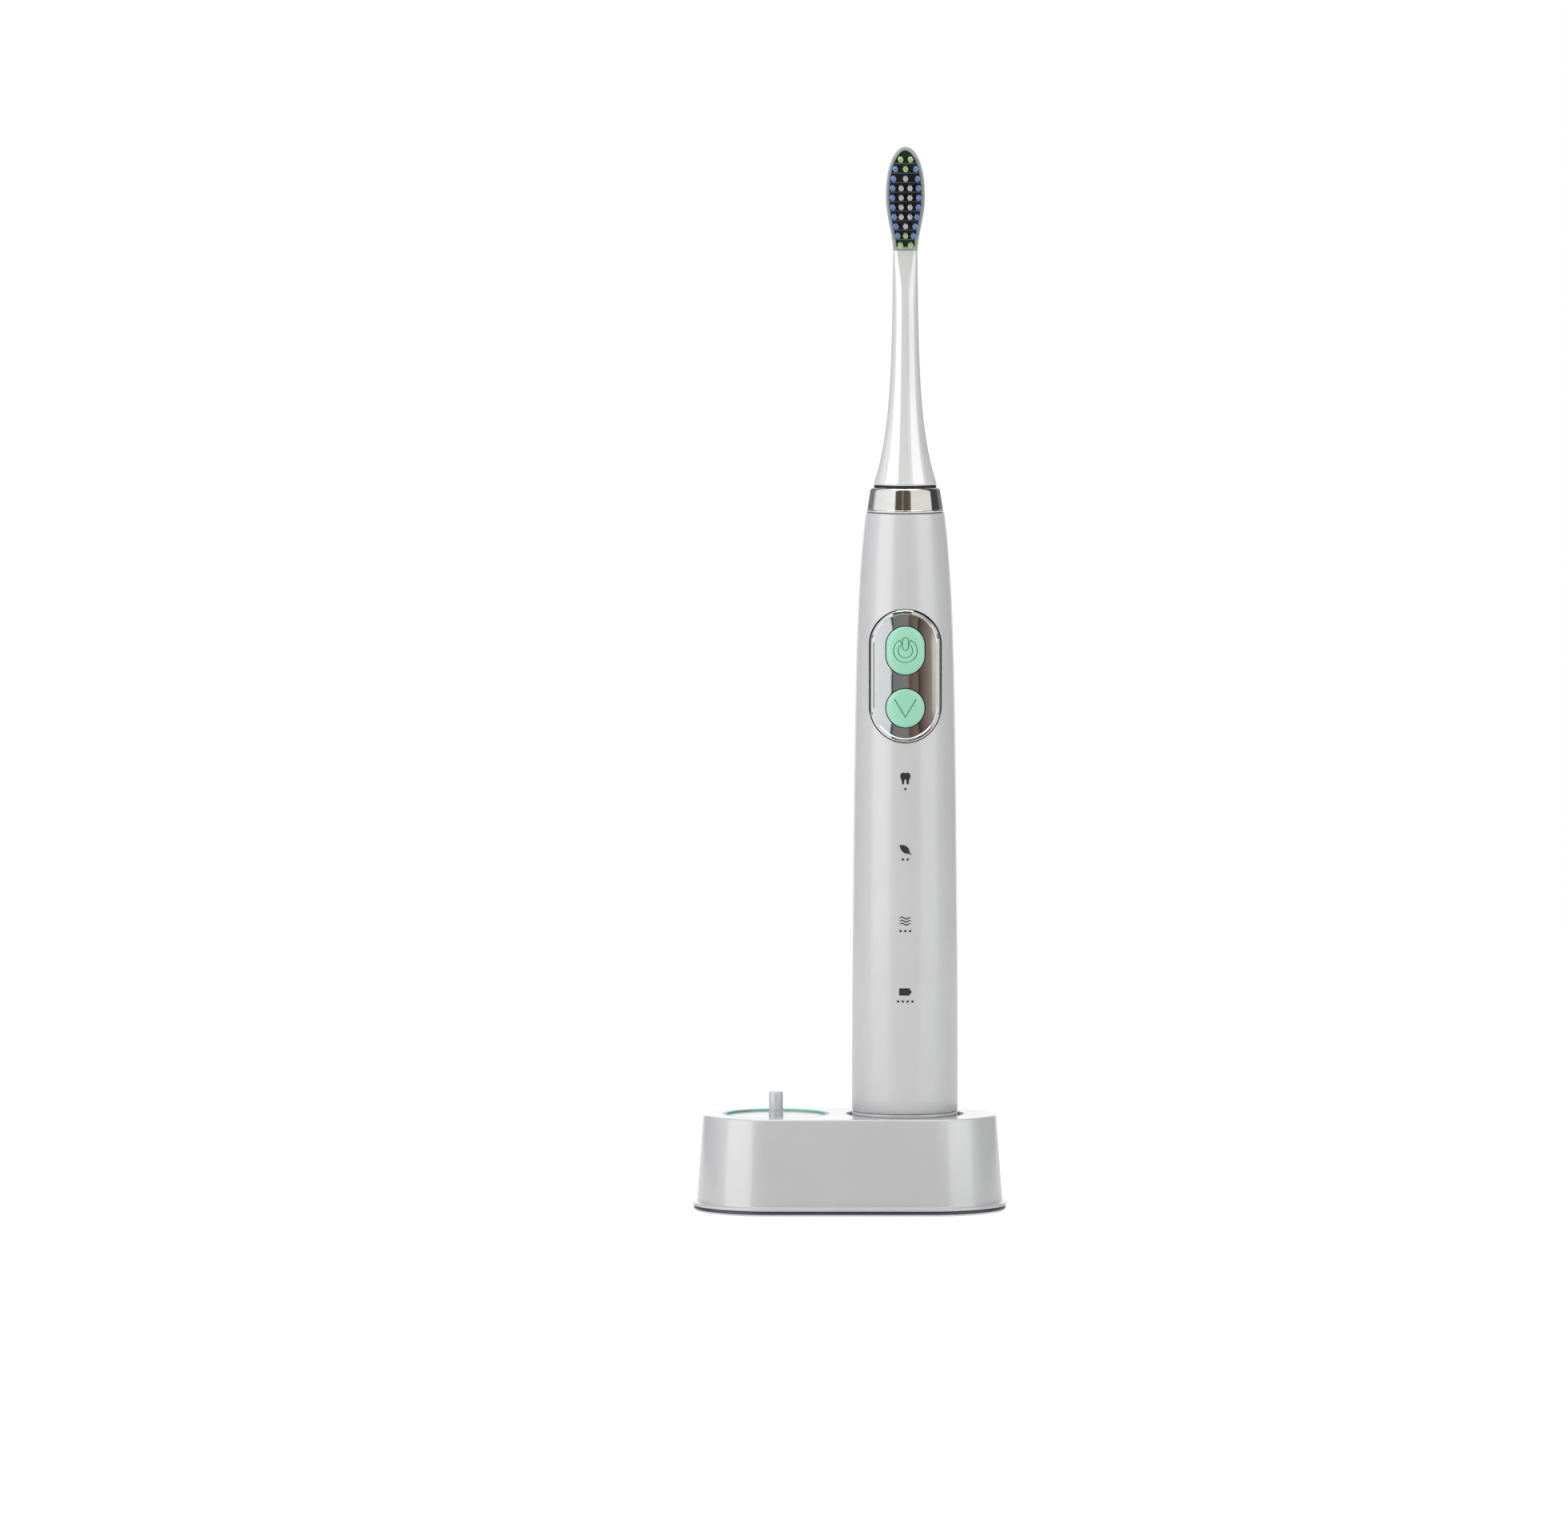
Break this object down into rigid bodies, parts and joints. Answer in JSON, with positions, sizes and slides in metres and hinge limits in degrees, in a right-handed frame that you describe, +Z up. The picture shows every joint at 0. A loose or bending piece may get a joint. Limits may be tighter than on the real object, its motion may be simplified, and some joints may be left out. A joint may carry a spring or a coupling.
{
  "type": "electric toothbrush on charger",
  "caption": "Slim electric toothbrush with two press buttons and an oscillating, pull-off brush head, standing on an oval charger with a peg for a spare head.",
  "frame": {"origin": "on the surface it stands on, under the middle of the charger", "axes": "+Z up along the handle, +X to the right along the charger, buttons and bristles face -Y"},
  "size_m": [0.0822, 0.0412, 0.2782],
  "materials": {
    "white_plastic": "glossy white",
    "pearl_plastic": "satin pearl",
    "dark_plastic": "matt dark",
    "grey_plastic": "satin grey",
    "peg_plastic": "glossy grey",
    "mint_plastic": "satin mint",
    "teal_plastic": "satin teal",
    "rubber": "matt black",
    "chrome": "polished",
    "steel": "brushed",
    "battery_can": "satin",
    "winding": "enamelled wire",
    "ferrite": "matt",
    "board": "solder mask",
    "black_plastic": "matt black",
    "frame_plastic": "matt white",
    "status_light": "clear",
    "tuft_blue": "bristle",
    "tuft_white": "bristle",
    "tuft_green": "bristle"
  },
  "bodies": {
    "charger": {"charger_housing": "white_plastic", "charger_base_plate": "dark_plastic", "rubber_foot_1": "rubber", "rubber_foot_2": "rubber", "rubber_foot_3": "rubber", "rubber_foot_4": "rubber", "base_screw_1": "steel", "base_screw_2": "steel", "post_core": "ferrite", "coil_bobbin": "black_plastic", "primary_coil": "winding", "charger_board": "board", "board_capacitor": "black_plastic", "power_inlet": "steel", "holder_peg": "peg_plastic", "peg_screw": "steel", "peg_ring": "teal_plastic", "seat_ring": "grey_plastic"},
    "handle": {"handle_shell": "pearl_plastic", "end_cap": "pearl_plastic", "end_cap_seal": "rubber", "collar": "chrome", "button_panel": "chrome", "keypad_membrane": "rubber", "coil_former": "black_plastic", "receiving_coil": "winding", "chassis": "frame_plastic", "battery": "battery_can", "battery_tab_lower": "steel", "battery_tab_upper": "steel", "circuit_board": "board", "power_switch": "steel", "mode_switch": "steel", "status_light_1": "status_light", "status_light_2": "status_light", "status_light_3": "status_light", "status_light_4": "status_light", "motor_can": "steel", "stator_core": "ferrite", "drive_coil": "winding", "rear_bearing": "steel", "front_bearing": "steel", "motor_damper": "rubber", "shaft_seal": "rubber"},
    "power_button": {"power_button": "mint_plastic"},
    "mode_button": {"mode_button": "mint_plastic"},
    "drive": {"drive_shaft": "steel", "rotor": "steel", "rotor_magnet_left": "ferrite", "rotor_magnet_right": "ferrite", "torsion_bar": "steel"},
    "brush_head": {"head_body": "white_plastic", "head_sleeve": "grey_plastic", "shaft_clip": "steel", "tuft_plate": "grey_plastic", "tufts_blue_left": "tuft_blue", "tufts_blue_right": "tuft_blue", "tufts_white": "tuft_white", "tufts_green_tip": "tuft_green", "tufts_green_heel": "tuft_green"}
  },
  "joints": [
    {"name": "handle_lift", "type": "slide", "parent": "charger", "child": "handle", "axis": [0, 0, 1], "range_m": [0, 0.05]},
    {"name": "power_press", "type": "slide", "parent": "handle", "child": "power_button", "axis": [0, 1, 0], "range_m": [0, 0.0005], "stiffness_N_per_m": 2000},
    {"name": "mode_press", "type": "slide", "parent": "handle", "child": "mode_button", "axis": [0, 1, 0], "range_m": [0, 0.0005], "stiffness_N_per_m": 2000},
    {"name": "shaft_swing", "type": "hinge", "parent": "handle", "child": "drive", "pos_m": [0.0144, 0, 0.19], "axis": [0, 0, 1], "range_deg": [-6, 6], "stiffness_Nm_per_rad": 0.2},
    {"name": "head_pull", "type": "slide", "parent": "drive", "child": "brush_head", "axis": [0, 0, 1], "range_m": [0, 0.03]}
  ]
}
